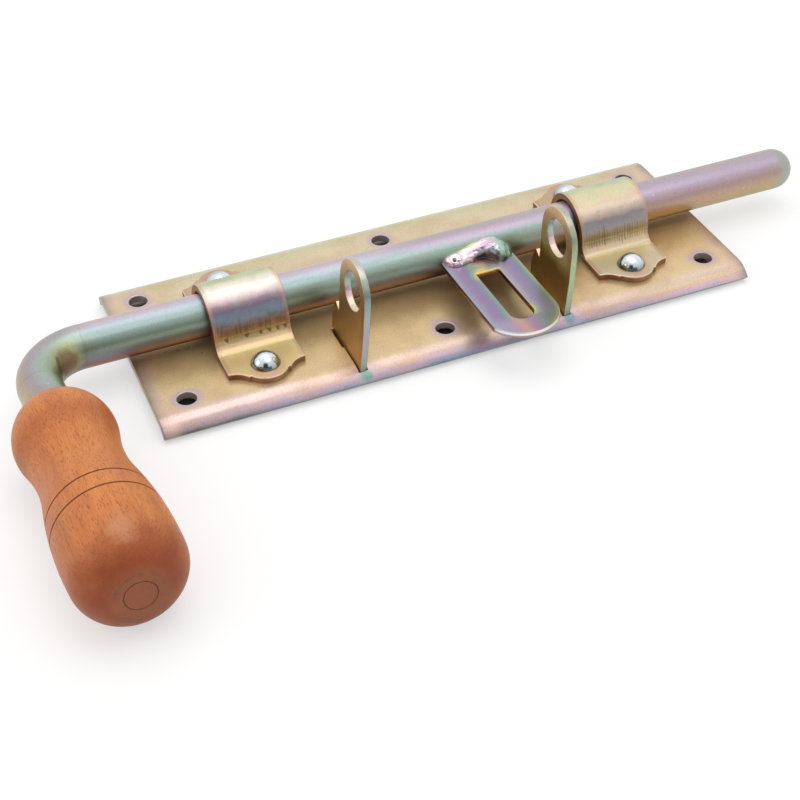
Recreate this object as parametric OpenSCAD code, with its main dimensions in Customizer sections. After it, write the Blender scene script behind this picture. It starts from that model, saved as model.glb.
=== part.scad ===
// Gate bolt: a round bar with a cranked arm and a wooden grip, sliding in two keepers on a plate.
// X runs along the bar to its nose, the arm and the hasp point to -Y, and Z is up.
// The origin is the centre of the plate's top face.

/* [Base plate] */
// Length of the plate along the bar
plate_l = 231.4; // [228:0.2:240]
// Width between the two cut edges
plate_w = 90; // [89.4:0.2:96]
// Width of the flat middle, between the bent long edges
flat_w = 73.8; // [72:0.2:74]
// Thickness of the sheet
plate_t = 3; // [2.5:0.1:3.2]
// Outside radius of the bends
lip_r = 10; // [9:0.5:10.5]
// Angle through which each long edge is bent down
lip_angle = 43; // [38:1:44]
// Spacing of the corner screw holes along the plate
hole_dx = 206.8; // [200:0.2:208]
// Spacing of all screw holes across the plate
hole_dy = 62.6; // [60:0.2:64]
// Place of the middle pair of screw holes along the plate
middle_hole_x = -5.1; // [-10:0.1:0]
// Diameter of the screw holes
hole_d = 7; // [6:0.1:7.6]

/* [Keepers] */
// Place of the left keeper along the plate
left_keeper_x = -72.6; // [-75:0.1:-71]
// Place of the right keeper along the plate
right_keeper_x = 74.5; // [73:0.1:78]
// Width of a keeper strap
keeper_w = 28.8; // [26:0.2:29]
// Thickness of a keeper strap
keeper_t = 2.5; // [2.2:0.1:2.8]
// Inside radius of the arch over the bar
arch_r = 11; // [10.8:0.1:11.2]
// Height of the arch's centre
arch_z = 7.1; // [7:0.1:7.3]
// Outside radius of the bend between arch and foot
heel_r = 4.5; // [4:0.1:4.6]
// Distance of the rivets from the bar
rivet_y = 26.5; // [26:0.1:27.3]
// Distance from the bar to the centre of a foot's round lobe
lobe_y = 27.3; // [27:0.1:27.6]
// Radius of the round lobe at the end of a foot
lobe_r = 8.2; // [7.8:0.1:8.4]
// Distance from the bar to the corner where the strap starts to narrow
foot_corner_y = 28.2; // [28:0.1:28.6]

/* [Rivets] */
// Diameter of the domed head
rivet_head_d = 10.8; // [9:0.1:11]
// Height of the domed head
rivet_head_h = 4.1; // [2.4:0.1:4.4]
// Diameter of the shank
rivet_d = 6; // [5:0.1:6.4]
// Diameter of the formed tail under the plate
rivet_tail_d = 9; // [8:0.1:10]
// Height of the formed tail
rivet_tail_h = 1.5; // [1:0.1:2]

/* [Padlock eyes] */
// Place of the left eye along the plate
left_eye_x = -41.3; // [-42:0.1:-41]
// Lean of the left eye towards the nose
left_eye_lean = 4.5; // [0:0.5:5]
// Place of the right eye along the plate
right_eye_x = 39.6; // [39.5:0.1:42]
// Lean of the right eye towards the nose
right_eye_lean = 2.2; // [0:0.2:5]
// Thickness of an eye
eye_t = 2.5; // [2.3:0.1:3]
// Distance of the shackle hole from the bar
eye_y = 30.9; // [30.6:0.1:31.2]
// Height of the shackle hole
eye_z = 26.7; // [26:0.1:30]
// Radius of the round head
eye_head_r = 11.8; // [11.4:0.1:12]
// Diameter of the shackle hole
eye_hole_d = 14.4; // [12:0.1:14.8]
// How far the front edge runs back between the head and the plate
eye_taper = 1.2; // [0.6:0.1:1.4]
// Radius of the belly behind the neck
eye_belly_r = 17.8; // [17.4:0.1:18]
// Height of the bottom of the notch that the hasp drops into
notch_z = 11.3; // [10.8:0.1:11.8]
// Slope of the notch's outer flank
notch_angle = 30; // [20:1:36]

/* [Bar] */
// Diameter of the bar
bar_d = 16; // [15.8:0.1:16]
// Height of the bar's axis
bar_z = 9.6; // [9.6:0.1:9.8]
// Place of the nose's end
nose_x = 160.7; // [150:0.1:180]
// Place where the bar's axis and the arm's axis meet
elbow_x = -150.8; // [-156:0.1:-150.6]
// Radius of the bend, at the middle of the bar
bend_r = 18.6; // [17:0.1:19]
// How far the arm leans from square towards the nose
arm_lean = 2.4; // [0:0.1:2.4]
// How far the arm and the hasp point up from level
arm_rise = 1.8; // [1.7:0.1:2.2]
// Distance from the bar's axis to the arm's shoulder
arm_l = 95; // [92:0.5:95]

/* [Hasp] */
// Place of the hasp's middle along the bar
hasp_x = 17.3; // [16.6:0.1:18]
// Width of the hasp
hasp_w = 27.5; // [26.5:0.1:28]
// Thickness of the hasp
hasp_t = 2.2; // [2:0.1:3]
// Height of the hasp's top over the bar's axis
hasp_top = 1.5; // [1.2:0.1:1.6]
// Distance from the bar's axis to the hasp's round end
hasp_reach = 62; // [60:0.5:64]
// Radius of the round end, which runs into the right edge and meets the left one in a corner
hasp_end_r = 14.3; // [14:0.1:15]
// Width of the slot
slot_w = 9.1; // [8.6:0.1:10]
// Place of the slot's middle along the bar
slot_x = 16.9; // [16.6:0.1:17.6]
// Distance from the bar's axis to the slot's square end
slot_from = 20.1; // [20:0.1:22]
// Distance from the bar's axis to the slot's round end
slot_to = 53.1; // [50:0.1:53.5]

/* [Grip] */
// Distance from the bar's axis to the grip's mouth
grip_mouth = 34; // [33.5:0.1:35]
// Distance from the bar's axis to the thickest place of the upper swell
swell_s = 49.8; // [49.6:0.1:50.4]
// Radius of the upper swell at its thickest
swell_r = 17.4; // [17:0.1:17.4]
// Radius of the curve along the upper swell
swell_curve = 20.8; // [20:0.1:21]
// Distance from the bar's axis to the waist
waist_s = 69; // [68.5:0.1:70]
// Radius of the waist
waist_r = 15.1; // [14.8:0.1:15.3]
// Distance from the bar's axis to the thickest place of the bulb
bulb_s = 108.5; // [107:0.1:110]
// Radius of the bulb at its thickest
bulb_r = 18.9; // [18.5:0.1:19]
// Distance from the bar's axis to the grip's flat end
grip_end = 129; // [128:0.1:130]
// Radius of the rounding at the grip's end
end_curve = 13; // [12:0.1:14]
// Distance from the bar's axis to the first scribed groove
groove_1 = 90; // [88:0.5:94]
// Distance from the bar's axis to the second scribed groove
groove_2 = 98; // [96:0.5:102]
// Diameter of the plug in the grip's end
plug_d = 10.5; // [10:0.1:10.8]

/* [Hidden] */
$fn = 96;

// colours of the finishes
gold = [0.79, 0.68, 0.44];
steel_green = [0.60, 0.66, 0.65];
lilac = [0.70, 0.64, 0.72];
bright = [0.82, 0.83, 0.85];
beech = [0.72, 0.38, 0.22];

// clearances: a running fit, a loose fit, and a small step for clean cuts
running = 0.05;
loose = 0.15;
eps = 0.5;
// how far one curve stands over the next where they run into each other, too little to be seen
blend = 0.01;

// the plate's flat middle ends where the bends start, and a straight strip follows each bend
flat_y = flat_w / 2;
strip_w = (plate_w / 2 - flat_y - lip_r * sin(lip_angle)) / cos(lip_angle);

// a padlock eye's tab passes through the plate, in a slot with a wider rear half
tab_front_y = 41.2;
tab_rear_y = 14.6;
tab_depth = 1.2;
tab_root = 1;
slot_gap = 0.35;
slot_relief = 0.6;
slot_relief_l = 12;
eye_belly_z = 3;
eye_taper_z = 14;
eye_weld_r = 2.2;

// the bar: tangent length of its bend, and where the straight part starts
bar_r = bar_d / 2;
bend_angle = 90 + arm_lean;
bend_tangent = bend_r * tan(bend_angle / 2);
bend_x = elbow_x + bend_tangent;
split = 0.025;
// the arm starts a little inside the bend, a hair thinner, so that the two surfaces meet cleanly
arm_overlap = 0.1;
seam = 0.03;

// the spigot, web, washer and screw inside the grip
web_t = 8.7;
web_gap = 0.3;
spigot_r = 3.5;
spigot_l = web_gap + web_t + 0.3;
well_r = 5;
washer_t = 1;
screw_r = 2;
screw_l = 11;
tapped_l = 12;
screw_head_r = 4;
screw_head_h = 2.7;
recess_w = 0.9;
recess_l = 4.4;
recess_h = 1.3;
web_s = arm_l + web_gap;
well_s = web_s + web_t;
washer_s = arm_l + spigot_l;
screw_s = washer_s + washer_t;
plug_s = 112;

// centres of the grip's four tangent arcs, each given as [radius from the axis, distance along it]
swell_c = [swell_r - swell_curve, swell_s];
waist_h = waist_r - swell_c.x;
waist_curve = ((waist_s - swell_s) ^ 2 + waist_h ^ 2 - swell_curve ^ 2) / (2 * (swell_curve - waist_h));
waist_c = [waist_r + waist_curve, waist_s];
bulb_rise = bulb_r - waist_r;
bulb_curve = ((bulb_s - waist_s) ^ 2 + bulb_rise ^ 2) / (2 * bulb_rise) - waist_curve;
bulb_c = [bulb_r - bulb_curve, bulb_s];
end_s = grip_end - end_curve;
end_c = [bulb_c.x + sqrt((bulb_curve - end_curve) ^ 2 - (end_s - bulb_s) ^ 2), end_s];
mouth_curve = 1.5;
mouth_s = grip_mouth + mouth_curve;
mouth_c = [swell_c.x + sqrt((swell_curve - mouth_curve) ^ 2 - (mouth_s - swell_s) ^ 2), mouth_s];
// distances along the axis at which one arc hands over to the next
swell_to_waist = swell_s + (waist_s - swell_s) * swell_curve / (swell_curve + waist_curve);
waist_to_bulb = waist_s + (bulb_s - waist_s) * waist_curve / (waist_curve + bulb_curve);
bulb_to_end = bulb_s + (end_s - bulb_s) * bulb_curve / (bulb_curve - end_curve);
arc_overlap = 1;
arc_step = 0.1;
groove_r = 0.35;
fine = 360;

// stretches a flat outline drawn as (y, z) along X, centred on x
module along_x(length, x = 0) {
    translate([x, 0, 0])
        rotate([90, 0, 90])
            linear_extrude(length, center = true)
                children();
}

// turns a shape about the bar's axis from level to where the arm and the hasp point
module from_bar() {
    translate([0, 0, bar_z])
        rotate([-arm_rise, 0, 0])
            children();
}

// puts a shape that stands on +Z along the arm's axis, measured from the bar's axis
module along_arm() {
    from_bar()
        translate([elbow_x, 0, 0])
            rotate([0, 0, arm_lean])
                rotate([90, 0, 0])
                    children();
}

// section of one half of the plate across the bar: the flat, the ring sector of its bend, and the strip
module half_plate_outline() {
    translate([0, -plate_t])
        square([flat_y, plate_t]);
    translate([flat_y, -lip_r]) {
        intersection() {
            difference() {
                circle(lip_r, $fn = fine);
                circle(lip_r - plate_t, $fn = fine);
            }
            polygon([[0, 0], [0, 2 * lip_r], [2 * lip_r * tan(lip_angle), 2 * lip_r]]);
        }
        rotate(-lip_angle)
            translate([0, lip_r - plate_t])
                square([strip_w, plate_t]);
    }
}

module plate_outline() {
    half_plate_outline();
    mirror([1, 0])
        half_plate_outline();
}

// a round hole through the sheet
module sheet_hole(x, y, d) {
    translate([x, y, -plate_t - eps])
        cylinder(h = plate_t + 2 * eps, d = d);
}

// slot for a padlock eye, wider on its left rear side
module eye_slot(x) {
    w = eye_t + 2 * slot_gap;
    translate([x - w / 2, -tab_front_y - running, -2 * plate_t])
        cube([w, tab_front_y - tab_rear_y + 2 * running, 2 * plate_t + eps]);
    translate([x - w / 2 - slot_relief, -tab_rear_y - slot_relief_l, -2 * plate_t])
        cube([slot_relief + eps, slot_relief_l, 2 * plate_t + eps]);
}

module base_plate() {
    color(gold)
        difference() {
            along_x(plate_l)
                plate_outline();
            for (x = [-hole_dx / 2, middle_hole_x, hole_dx / 2], y = [-hole_dy / 2, hole_dy / 2])
                sheet_hole(x, y, hole_d);
            for (x = [left_keeper_x, right_keeper_x], y = [-rivet_y, rivet_y])
                sheet_hole(x, y, rivet_d + 2 * running);
            for (x = [left_eye_x, right_eye_x])
                eye_slot(x);
        }
}

// half of the keeper's section: arch, the bend that sweeps out of it, and the flat foot
module keeper_half_outline() {
    heel_y = arch_r + keeper_t + heel_r;
    foot_y = lobe_y + lobe_r + eps;
    difference() {
        union() {
            intersection() {
                translate([0, arch_z])
                    circle(arch_r + keeper_t, $fn = fine);
                translate([0, heel_r + keeper_t])
                    square(arch_r + 2 * keeper_t + heel_r);
            }
            square([heel_y, arch_z]);
            square([foot_y, keeper_t]);
        }
        translate([0, arch_z])
            circle(arch_r, $fn = fine);
        translate([-eps, -eps])
            square([arch_r + eps, arch_z + eps]);
        difference() {
            translate([arch_r, -eps])
                square([heel_r + keeper_t, heel_r + keeper_t + eps]);
            translate([heel_y, heel_r + keeper_t])
                circle(heel_r + keeper_t);
        }
        translate([heel_y, heel_r + keeper_t])
            circle(heel_r);
    }
}

// plan of a keeper: a straight strap whose ends narrow through two hollows to a round lobe
module keeper_plan() {
    hollow_dy = (keeper_w ^ 2 / 4 + (foot_corner_y - lobe_y) ^ 2 - lobe_r ^ 2)
                / (2 * (foot_corner_y - lobe_y + lobe_r));
    hollow_y = foot_corner_y + hollow_dy;
    square([keeper_w, 2 * (lobe_y - 1)], center = true);
    for (side = [0, 1])
        mirror([0, side]) {
            translate([0, lobe_y])
                circle(lobe_r);
            difference() {
                polygon([[-keeper_w / 2, lobe_y - 2], [keeper_w / 2, lobe_y - 2],
                         [keeper_w / 2, hollow_y], [0, lobe_y], [-keeper_w / 2, hollow_y]]);
                for (x = [-keeper_w / 2, keeper_w / 2])
                    translate([x, hollow_y])
                        circle(hollow_dy);
            }
        }
}

// a keeper strap with its two rivet holes
module keeper(x) {
    color(gold)
        translate([x, 0, 0])
            difference() {
                intersection() {
                    along_x(keeper_w + eps) {
                        keeper_half_outline();
                        mirror([1, 0])
                            keeper_half_outline();
                    }
                    linear_extrude(arch_z + arch_r + 2 * keeper_t)
                        keeper_plan();
                }
                for (y = [-rivet_y, rivet_y])
                    translate([0, y, -eps])
                        cylinder(h = keeper_t + 2 * eps, d = rivet_d + 2 * running);
            }
}

module left_keeper() {
    keeper(left_keeper_x);
}

module right_keeper() {
    keeper(right_keeper_x);
}

// a round cap of the given base diameter and height, standing on z = 0
module dome(d, h) {
    r = (d * d / 4 + h * h) / (2 * h);
    intersection() {
        translate([0, 0, h - r])
            sphere(r);
        cylinder(h = 2 * h, d = d + 1);
    }
}

// a rivet: domed head on the keeper's foot, shank through both sheets, flat formed tail below
module rivet(x, y) {
    color(bright)
        translate([x, y, 0]) {
            translate([0, 0, keeper_t])
                dome(rivet_head_d, rivet_head_h);
            translate([0, 0, -plate_t - eps])
                cylinder(h = plate_t + keeper_t + 2 * eps, d = rivet_d);
            translate([0, 0, -plate_t])
                mirror([0, 0, 1])
                    dome(rivet_tail_d, rivet_tail_h);
        }
}

module left_front_rivet() {
    rivet(left_keeper_x, -rivet_y);
}

module left_rear_rivet() {
    rivet(left_keeper_x, rivet_y);
}

module right_front_rivet() {
    rivet(right_keeper_x, -rivet_y);
}

module right_rear_rivet() {
    rivet(right_keeper_x, rivet_y);
}

// outline of a padlock eye: round head, neck that tapers below, and a belly with a notch before it
module eye_outline() {
    front_y = -eye_y - eye_head_r;
    neck_y = -eye_y + eye_head_r;
    translate([-eye_y, eye_z])
        circle(eye_head_r);
    polygon([[front_y, eye_z], [front_y, eye_taper_z], [front_y + eye_taper, 0], [front_y + eye_taper, -plate_t],
             [neck_y, -plate_t], [neck_y, eye_z]]);
    intersection() {
        translate([-eye_y, eye_belly_z])
            circle(eye_belly_r);
        polygon([[neck_y - 1, -eye_belly_r], [0, -eye_belly_r], [0, notch_z - neck_y * tan(notch_angle)],
                 [neck_y, notch_z], [neck_y - 1, notch_z]]);
    }
}

// outline of the tab that goes through the plate, up to the given height
module tab_outline(top) {
    translate([-tab_front_y, -plate_t - tab_depth])
        square([tab_front_y - tab_rear_y, plate_t + tab_depth + top]);
}

// stands a flat outline at a padlock eye's place, with its lean
module at_eye(x, lean) {
    translate([x, 0, 0])
        rotate([0, lean, 0])
            along_x(eye_t)
                children();
}

// a padlock eye: its foot sits on the plate, and its tab passes through the slot
module padlock_eye(x, lean) {
    color(gold)
        difference() {
            union() {
                difference() {
                    at_eye(x, lean)
                        eye_outline();
                    along_x(4 * eye_t, x) {
                        plate_outline();
                        translate([-plate_w, -2 * lip_r])
                            square([plate_w, 2 * lip_r - plate_t]);
                    }
                }
                at_eye(x, lean)
                    tab_outline(tab_root);
            }
            at_eye(x, lean)
                translate([-eye_y, eye_z])
                    circle(d = eye_hole_d);
        }
}

module left_padlock_eye() {
    padlock_eye(left_eye_x, left_eye_lean);
}

module right_padlock_eye() {
    padlock_eye(right_eye_x, right_eye_lean);
}

// two fillet beads under the plate, one along each side of an eye's tab
module eye_weld(x, lean) {
    bead_y = [-flat_y + slot_gap + eye_weld_r, -tab_rear_y - 2 * eye_weld_r];
    color(lilac)
        difference() {
            for (side = [-1, 1])
                translate([x - plate_t * sin(lean) + side * eye_t / 2, 0, -plate_t]) {
                    translate([0, bead_y[0], 0])
                        rotate([-90, 0, 0])
                            cylinder(h = bead_y[1] - bead_y[0], r = eye_weld_r);
                    for (y = bead_y)
                        translate([0, y, 0])
                            sphere(eye_weld_r);
                }
            at_eye(x, lean)
                translate([0, -2 * eye_weld_r])
                    tab_outline(2 * eye_weld_r);
            translate([x - plate_t - eye_t, -plate_w / 2, -plate_t])
                cube([2 * plate_t + 2 * eye_t, plate_w / 2, plate_t]);
        }
}

module left_eye_weld() {
    eye_weld(left_eye_x, left_eye_lean);
}

module right_eye_weld() {
    eye_weld(right_eye_x, right_eye_lean);
}

// straight part of the bar, with a half-round nose
module bolt_shank() {
    color(steel_green)
        translate([0, 0, bar_z])
            rotate([0, 90, 0]) {
                translate([0, 0, bend_x + split])
                    cylinder(h = nose_x - bar_r - bend_x - split, r = bar_r);
                translate([0, 0, nose_x - bar_r])
                    sphere(bar_r);
            }
}

// the bend, the arm after it and the spigot that carries the grip, with a tapped hole in its end
module bolt_crank() {
    color(steel_green)
        difference() {
            union() {
                from_bar()
                    translate([bend_x, -bend_r, 0])
                        rotate([0, 0, 90])
                            rotate_extrude(angle = bend_angle)
                                translate([bend_r, 0])
                                    circle(bar_r);
                along_arm() {
                    translate([0, 0, bend_tangent - arm_overlap])
                        cylinder(h = arm_l - bend_tangent + arm_overlap, r = bar_r - seam);
                    translate([0, 0, arm_l - eps])
                        cylinder(h = spigot_l + eps, r = spigot_r);
                }
            }
            along_arm()
                translate([0, 0, arm_l + spigot_l - tapped_l])
                    cylinder(h = tapped_l + eps, r = screw_r + running);
            translate([bend_x - split, -bar_d, bar_z - bar_d])
                cube([bar_d, 2 * bar_d, 2 * bar_d]);
        }
}

// plan of the hasp with its radial direction along -Y
module hasp_plan() {
    left_x = hasp_x - hasp_w / 2;
    end_y = hasp_reach - hasp_end_r;
    slot_r = slot_w / 2;
    difference() {
        union() {
            translate([left_x, -end_y])
                square([hasp_w, end_y]);
            intersection() {
                translate([left_x + hasp_w - hasp_end_r, -end_y])
                    circle(hasp_end_r, $fn = fine);
                translate([left_x, -2 * hasp_reach])
                    square([2 * hasp_w, 2 * hasp_reach - end_y + slot_r]);
            }
        }
        translate([slot_x - slot_r, -slot_to + slot_r])
            square([slot_w, slot_to - slot_r - slot_from]);
        translate([slot_x, -slot_to + slot_r])
            circle(slot_r);
    }
}

// the bar with its running clearance, cut out of what is joined to it
module bar_clearance() {
    translate([hasp_x, 0, 0])
        rotate([0, 90, 0])
            cylinder(h = 2 * hasp_w, r = bar_r + running, center = true);
}

module hasp() {
    color(lilac)
        from_bar()
            difference() {
                translate([0, 0, hasp_top - hasp_t])
                    linear_extrude(hasp_t)
                        hasp_plan();
                bar_clearance();
            }
}

// lumps of the weld bead: [place along the bar, distance from its axis, radius]
weld_lumps = [[7, 8.6, 4.4], [11, 8.4, 4.8], [15, 8.2, 5.2],
              [19, 8.2, 5.6], [23.2, 9.2, 5.9], [27.6, 10.4, 5.2]];
weld_lump_z = 0.4;
// balls taken out of the bead, one for its pit and two for its crater, each given as
// [place along the bar, distance from its axis, height over it, radius]
weld_hollows = [[7.6, 11, 4.4, 1.2], [19.4, 14, 5.6, 3], [22.4, 14, 5.6, 3]];

// one bead laid in the corner between the hasp's top and the bar, with a pit and a crater in it
module hasp_weld() {
    color(lilac)
        from_bar()
            difference() {
                intersection() {
                    union()
                        for (lump = weld_lumps)
                            translate([lump[0], -lump[1], weld_lump_z])
                                sphere(lump[2]);
                    translate([hasp_x - hasp_w / 2, -hasp_reach, hasp_top])
                        cube([hasp_w, hasp_reach, bar_d]);
                }
                bar_clearance();
                for (hollow = weld_hollows)
                    translate([hollow[0], -hollow[1], hollow[2]])
                        sphere(hollow[3]);
            }
}

// the part of a flat shape that lies between two distances along the grip's axis
module stretch(from, to) {
    intersection() {
        translate([0, from])
            square([2 * bulb_r, to - from]);
        children();
    }
}

// the grip's outline from its axis: two swells and a waist, as arcs that run into one another.
// A convex arc reaches a little past its own stretch, where it lies inside the next one.
module grip_outline() {
    stretch(grip_mouth, mouth_s + arc_overlap) {
        translate(mouth_c)
            circle(mouth_curve + 2 * blend);
        square([mouth_c.x, grip_end]);
    }
    stretch(mouth_s - arc_step, swell_to_waist + 2 * arc_overlap)
        translate(swell_c)
            circle(swell_curve + blend, $fn = fine);
    stretch(swell_to_waist, waist_to_bulb)
        difference() {
            square([2 * bulb_r, grip_end]);
            translate(waist_c)
                circle(waist_curve, $fn = fine);
        }
    stretch(waist_to_bulb - 4 * arc_overlap, bulb_to_end)
        translate(bulb_c)
            circle(bulb_curve + blend, $fn = 2 * fine);
    stretch(bulb_to_end - 2 * arc_overlap, grip_end) {
        translate(end_c)
            circle(end_curve + 2 * blend, $fn = fine);
        square([end_c.x, grip_end]);
    }
}

// radius of the bulb's arc at a distance along the axis
function bulb_at(s) = bulb_c.x + sqrt(bulb_curve ^ 2 - (s - bulb_s) ^ 2);

// the turned grip with its two scribed grooves, its bore, web and well
module grip() {
    color(beech)
        along_arm()
            rotate_extrude()
                difference() {
                    grip_outline();
                    for (s = [groove_1, groove_2])
                        translate([bulb_at(s), s])
                            circle(groove_r, $fn = 24);
                    square([bar_r + running, web_s]);
                    square([spigot_r + running, grip_end]);
                    translate([0, well_s])
                        square([well_r + running, grip_end]);
                    translate([0, plug_s])
                        square([plug_d / 2 + loose / 2, grip_end]);
                }
}

module grip_washer() {
    color(bright)
        along_arm()
            translate([0, 0, washer_s])
                difference() {
                    cylinder(h = washer_t, r = well_r - loose);
                    translate([0, 0, -eps])
                        cylinder(h = washer_t + 2 * eps, r = screw_r + loose);
                }
}

// pan-head screw with a cross recess, which holds the washer on the spigot
module grip_screw() {
    color(bright)
        along_arm()
            translate([0, 0, screw_s])
                difference() {
                    union() {
                        intersection() {
                            cylinder(h = screw_head_h, r = screw_head_r);
                            translate([0, 0, screw_head_h - 2 * screw_head_r])
                                sphere(2 * screw_head_r);
                        }
                        translate([0, 0, -screw_l])
                            cylinder(h = screw_l + eps, r = screw_r);
                    }
                    for (turn = [0, 90])
                        rotate([0, 0, turn])
                            translate([-recess_l / 2, -recess_w / 2, screw_head_h - recess_h])
                                cube([recess_l, recess_w, 2 * recess_h]);
                }
}

module grip_plug() {
    color(beech)
        along_arm()
            translate([0, 0, plug_s])
                cylinder(h = grip_end - plug_s, r = plug_d / 2 - loose / 2);
}

base_plate();
left_keeper();
right_keeper();
left_front_rivet();
left_rear_rivet();
right_front_rivet();
right_rear_rivet();
left_padlock_eye();
right_padlock_eye();
left_eye_weld();
right_eye_weld();
bolt_shank();
bolt_crank();
hasp();
hasp_weld();
grip();
grip_washer();
grip_screw();
grip_plug();
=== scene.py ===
# %% [markdown]
# # A gate bolt, dressed in Blender
# The bolt is a bent round bar that slides in two keepers on a long plate. Almost all of it is steel with
# a yellow passivated zinc coat: gold on the flats, and pink, lilac, blue and green where the coat is
# thicker, along bends, holes and cut edges. The grip is turned beech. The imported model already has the
# right shapes, so this lesson keeps its nodes, softens their edges and spends its effort on finishes.

import math

import bmesh
import bpy
from mathutils import Matrix, Vector, noise


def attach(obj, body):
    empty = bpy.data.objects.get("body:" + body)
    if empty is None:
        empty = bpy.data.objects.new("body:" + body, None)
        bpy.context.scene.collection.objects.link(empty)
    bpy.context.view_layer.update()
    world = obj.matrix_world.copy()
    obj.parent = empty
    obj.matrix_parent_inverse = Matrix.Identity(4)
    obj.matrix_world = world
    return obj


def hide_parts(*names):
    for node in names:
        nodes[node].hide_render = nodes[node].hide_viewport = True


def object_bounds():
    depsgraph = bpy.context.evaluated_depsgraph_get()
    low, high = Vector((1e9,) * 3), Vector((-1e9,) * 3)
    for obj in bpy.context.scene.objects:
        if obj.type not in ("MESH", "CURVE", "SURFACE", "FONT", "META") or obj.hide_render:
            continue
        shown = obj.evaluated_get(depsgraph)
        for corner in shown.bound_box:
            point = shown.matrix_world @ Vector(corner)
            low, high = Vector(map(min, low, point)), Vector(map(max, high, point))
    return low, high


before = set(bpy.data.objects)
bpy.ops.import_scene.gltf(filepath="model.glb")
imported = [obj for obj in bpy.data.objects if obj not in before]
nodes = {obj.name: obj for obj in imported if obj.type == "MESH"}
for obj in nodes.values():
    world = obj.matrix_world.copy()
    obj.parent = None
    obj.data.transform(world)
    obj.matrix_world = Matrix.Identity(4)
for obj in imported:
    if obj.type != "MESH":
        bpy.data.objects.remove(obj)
cad_box = [list(corner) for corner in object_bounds()]
print("nodes:", len(nodes), "box in mm:", [[round(v * 1000, 1) for v in corner] for corner in cad_box])

# %% [markdown]
# ## Camera
# The photograph looks down on the bolt from the front left with a fairly long lens. The place and the
# turn of the camera come from a fit to the plate's edges, its holes and the bar, so they are written
# down as numbers. A lens of 71.7 mm on a sensor 36 mm wide has the same angle of view.

# %% Camera
camera_data = bpy.data.cameras.new("camera")
camera_data.lens = 71.716
camera_data.sensor_width = 36
camera_data.shift_x = -0.0079
camera = bpy.data.objects.new("camera", camera_data)
camera.location = (-0.193862, -0.455485, 0.352158)
camera.rotation_euler = [math.radians(a) for a in (50.2387, 0.9966, -22.9889)]
bpy.context.scene.collection.objects.link(camera)
bpy.context.scene.camera = camera
bpy.context.scene.view_settings.view_transform = "Standard"
print("camera is", round(camera.location.length * 1000), "mm from the plate's middle")


# %% [markdown]
# ## Colours and patterns
# Blender's sockets take linear colour, while a colour picked from a picture is sRGB, so a small
# function converts it. A pattern is what a node gives out, a value that differs from place to place.
# With a small class for it, plus and times between two patterns add the Math node that works the result
# out, so a finish reads like arithmetic. All patterns are measured in millimetres of object space.

# %% Colour helpers
def seen(red, green, blue):
    """A colour as picked from a picture, turned into the linear colour that sockets take."""
    linear = [c / 12.92 if c <= 0.04045 else ((c + 0.055) / 1.055) ** 2.4 for c in (red, green, blue)]
    return (*linear, 1.0)


def grey(value):
    return (value, value, value)


print("mid gold is", [round(c, 3) for c in seen(0.82, 0.70, 0.48)])


# %% A pattern
class Pattern:
    """The socket that a node gives out. Arithmetic with it adds the Math node for the result."""

    def __init__(self, socket):
        self.socket = socket

    def __add__(self, other):
        return maths("ADD", self, other)

    def __sub__(self, other):
        return maths("SUBTRACT", self, other)

    def __rsub__(self, other):
        return maths("SUBTRACT", other, self)

    def __mul__(self, other):
        return maths("MULTIPLY", self, other)

    def __neg__(self):
        return self * -1.0

    def __abs__(self):
        return maths("ABSOLUTE", self)


def wire(socket, value):
    """Fills an input with a number, a colour or a pattern. None leaves it as it is."""
    if isinstance(value, Pattern):
        socket.id_data.links.new(value.socket, socket)
    elif value is not None:
        socket.default_value = value


def put(kind, *values, output=0, **settings):
    """Adds a node beside its patterns, fills its inputs in order and gives back one of its outputs."""
    tree = next(value.socket.id_data for value in values if isinstance(value, Pattern))
    node = tree.nodes.new("ShaderNode" + kind)
    for name, setting in settings.items():
        setattr(node, name, setting)
    for socket, value in zip(node.inputs, values):
        wire(socket, value)
    return Pattern(node.outputs[output])


print("patterns can be put")


# %% Numbers from patterns
def maths(operation, *values):
    return put("Math", *values, operation=operation)


def most(first, *others):
    for other in others:
        first = maths("MAXIMUM", first, other)
    return first


def sway(value, amount, pattern):
    """The value plus this amount of the pattern, so that a border looks grown and not ruled."""
    return maths("MULTIPLY_ADD", pattern, amount, value)


def rise(value, low, high):
    """0 below low and 1 above high, with a smooth step between. It falls if low is the larger."""
    ends = (low, high, 0.0, 1.0) if low < high else (high, low, 1.0, 0.0)
    return put("MapRange", value, *ends, interpolation_type="SMOOTHSTEP")


def spread(value, low, high, first=0.0, last=1.0):
    """first where the value is low or less, last where it is high or more, and evenly between."""
    return put("MapRange", value, low, high, first, last)


def between(share, first, second):
    """Number first where share is 0, and second where it is 1."""
    return put("Mix", share, None, first, second, data_type="FLOAT")


print("numbers are ready")


# %% Places from patterns
def vector(x, y, z):
    return put("CombineXYZ", x, y, z)


def parts(place):
    """The x, y and z of a place or a direction."""
    return [Pattern(socket) for socket in put("SeparateXYZ", place).socket.node.outputs]


def distance(place, spot=(0, 0, 0)):
    """How far a place is from a spot."""
    return put("VectorMath", place, spot, operation="DISTANCE", output=1)


def stretched(place, x, y, z):
    """The place divided by a size along each axis, for patterns that run in one direction."""
    return put("VectorMath", place, (1 / x, 1 / y, 1 / z), operation="MULTIPLY")


def cloud(place, size, detail=2.0, rough=0.5):
    """Soft noise from 0 to 1 whose blobs are about size millimetres across."""
    return put("TexNoise", place, None, 1.0 / size, detail, rough, normalize=True)


print("places are ready")


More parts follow.
